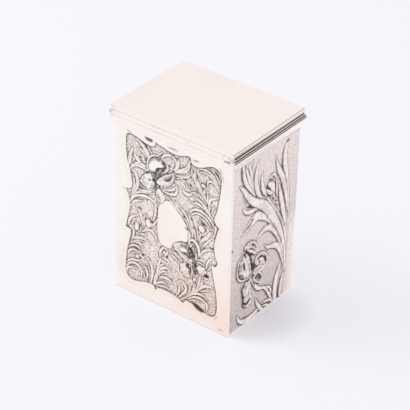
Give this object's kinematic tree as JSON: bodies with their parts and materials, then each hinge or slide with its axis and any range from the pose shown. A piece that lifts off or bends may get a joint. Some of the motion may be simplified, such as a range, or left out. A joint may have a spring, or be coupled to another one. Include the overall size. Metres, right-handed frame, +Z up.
{
  "type": "playing card case",
  "caption": "Upright rectangular silver card case with chased walls, a flared and beaded rim, and a shallow flat lid hinged along the front edge.",
  "frame": {"origin": "centre of the case's underside, on the surface it stands on", "axes": "+Z up; -Y is the ornamented front, where the hinge is; +X is to the right of someone who looks at the front"},
  "size_m": [0.072, 0.0563, 0.102],
  "materials": {
    "polished_silver": "polished silver, worn soft",
    "chased_silver": "satin silver, pressed and chased, darkened in its hollows",
    "inside_silver": "satin silver, not polished",
    "pin_metal": "drawn wire"
  },
  "bodies": {
    "case": {"base_plate": "inside_silver", "front_panel": "chased_silver", "back_panel": "chased_silver", "left_panel": "chased_silver", "right_panel": "chased_silver", "front_flare": "polished_silver", "back_flare": "polished_silver", "left_flare": "polished_silver", "right_flare": "polished_silver", "body_rim_back": "polished_silver", "body_rim_left": "polished_silver", "body_rim_right": "polished_silver", "body_hinge_rail": "polished_silver", "bezel_front": "inside_silver", "bezel_back": "inside_silver", "bezel_left": "inside_silver", "bezel_right": "inside_silver", "body_knuckle_left": "polished_silver", "body_knuckle_middle": "polished_silver", "body_knuckle_right": "polished_silver", "hinge_pin": "pin_metal"},
    "lid": {"lid_plate": "polished_silver", "lid_rim_back": "polished_silver", "lid_rim_left": "polished_silver", "lid_rim_right": "polished_silver", "lid_hinge_rail": "polished_silver", "lid_knuckle_left": "polished_silver", "lid_knuckle_right": "polished_silver"}
  },
  "joints": [
    {"name": "lid_hinge", "type": "hinge", "parent": "case", "child": "lid", "pos_m": [0, -0.0272, 0.0982], "axis": [1, 0, 0], "range_deg": [0, 110]}
  ]
}
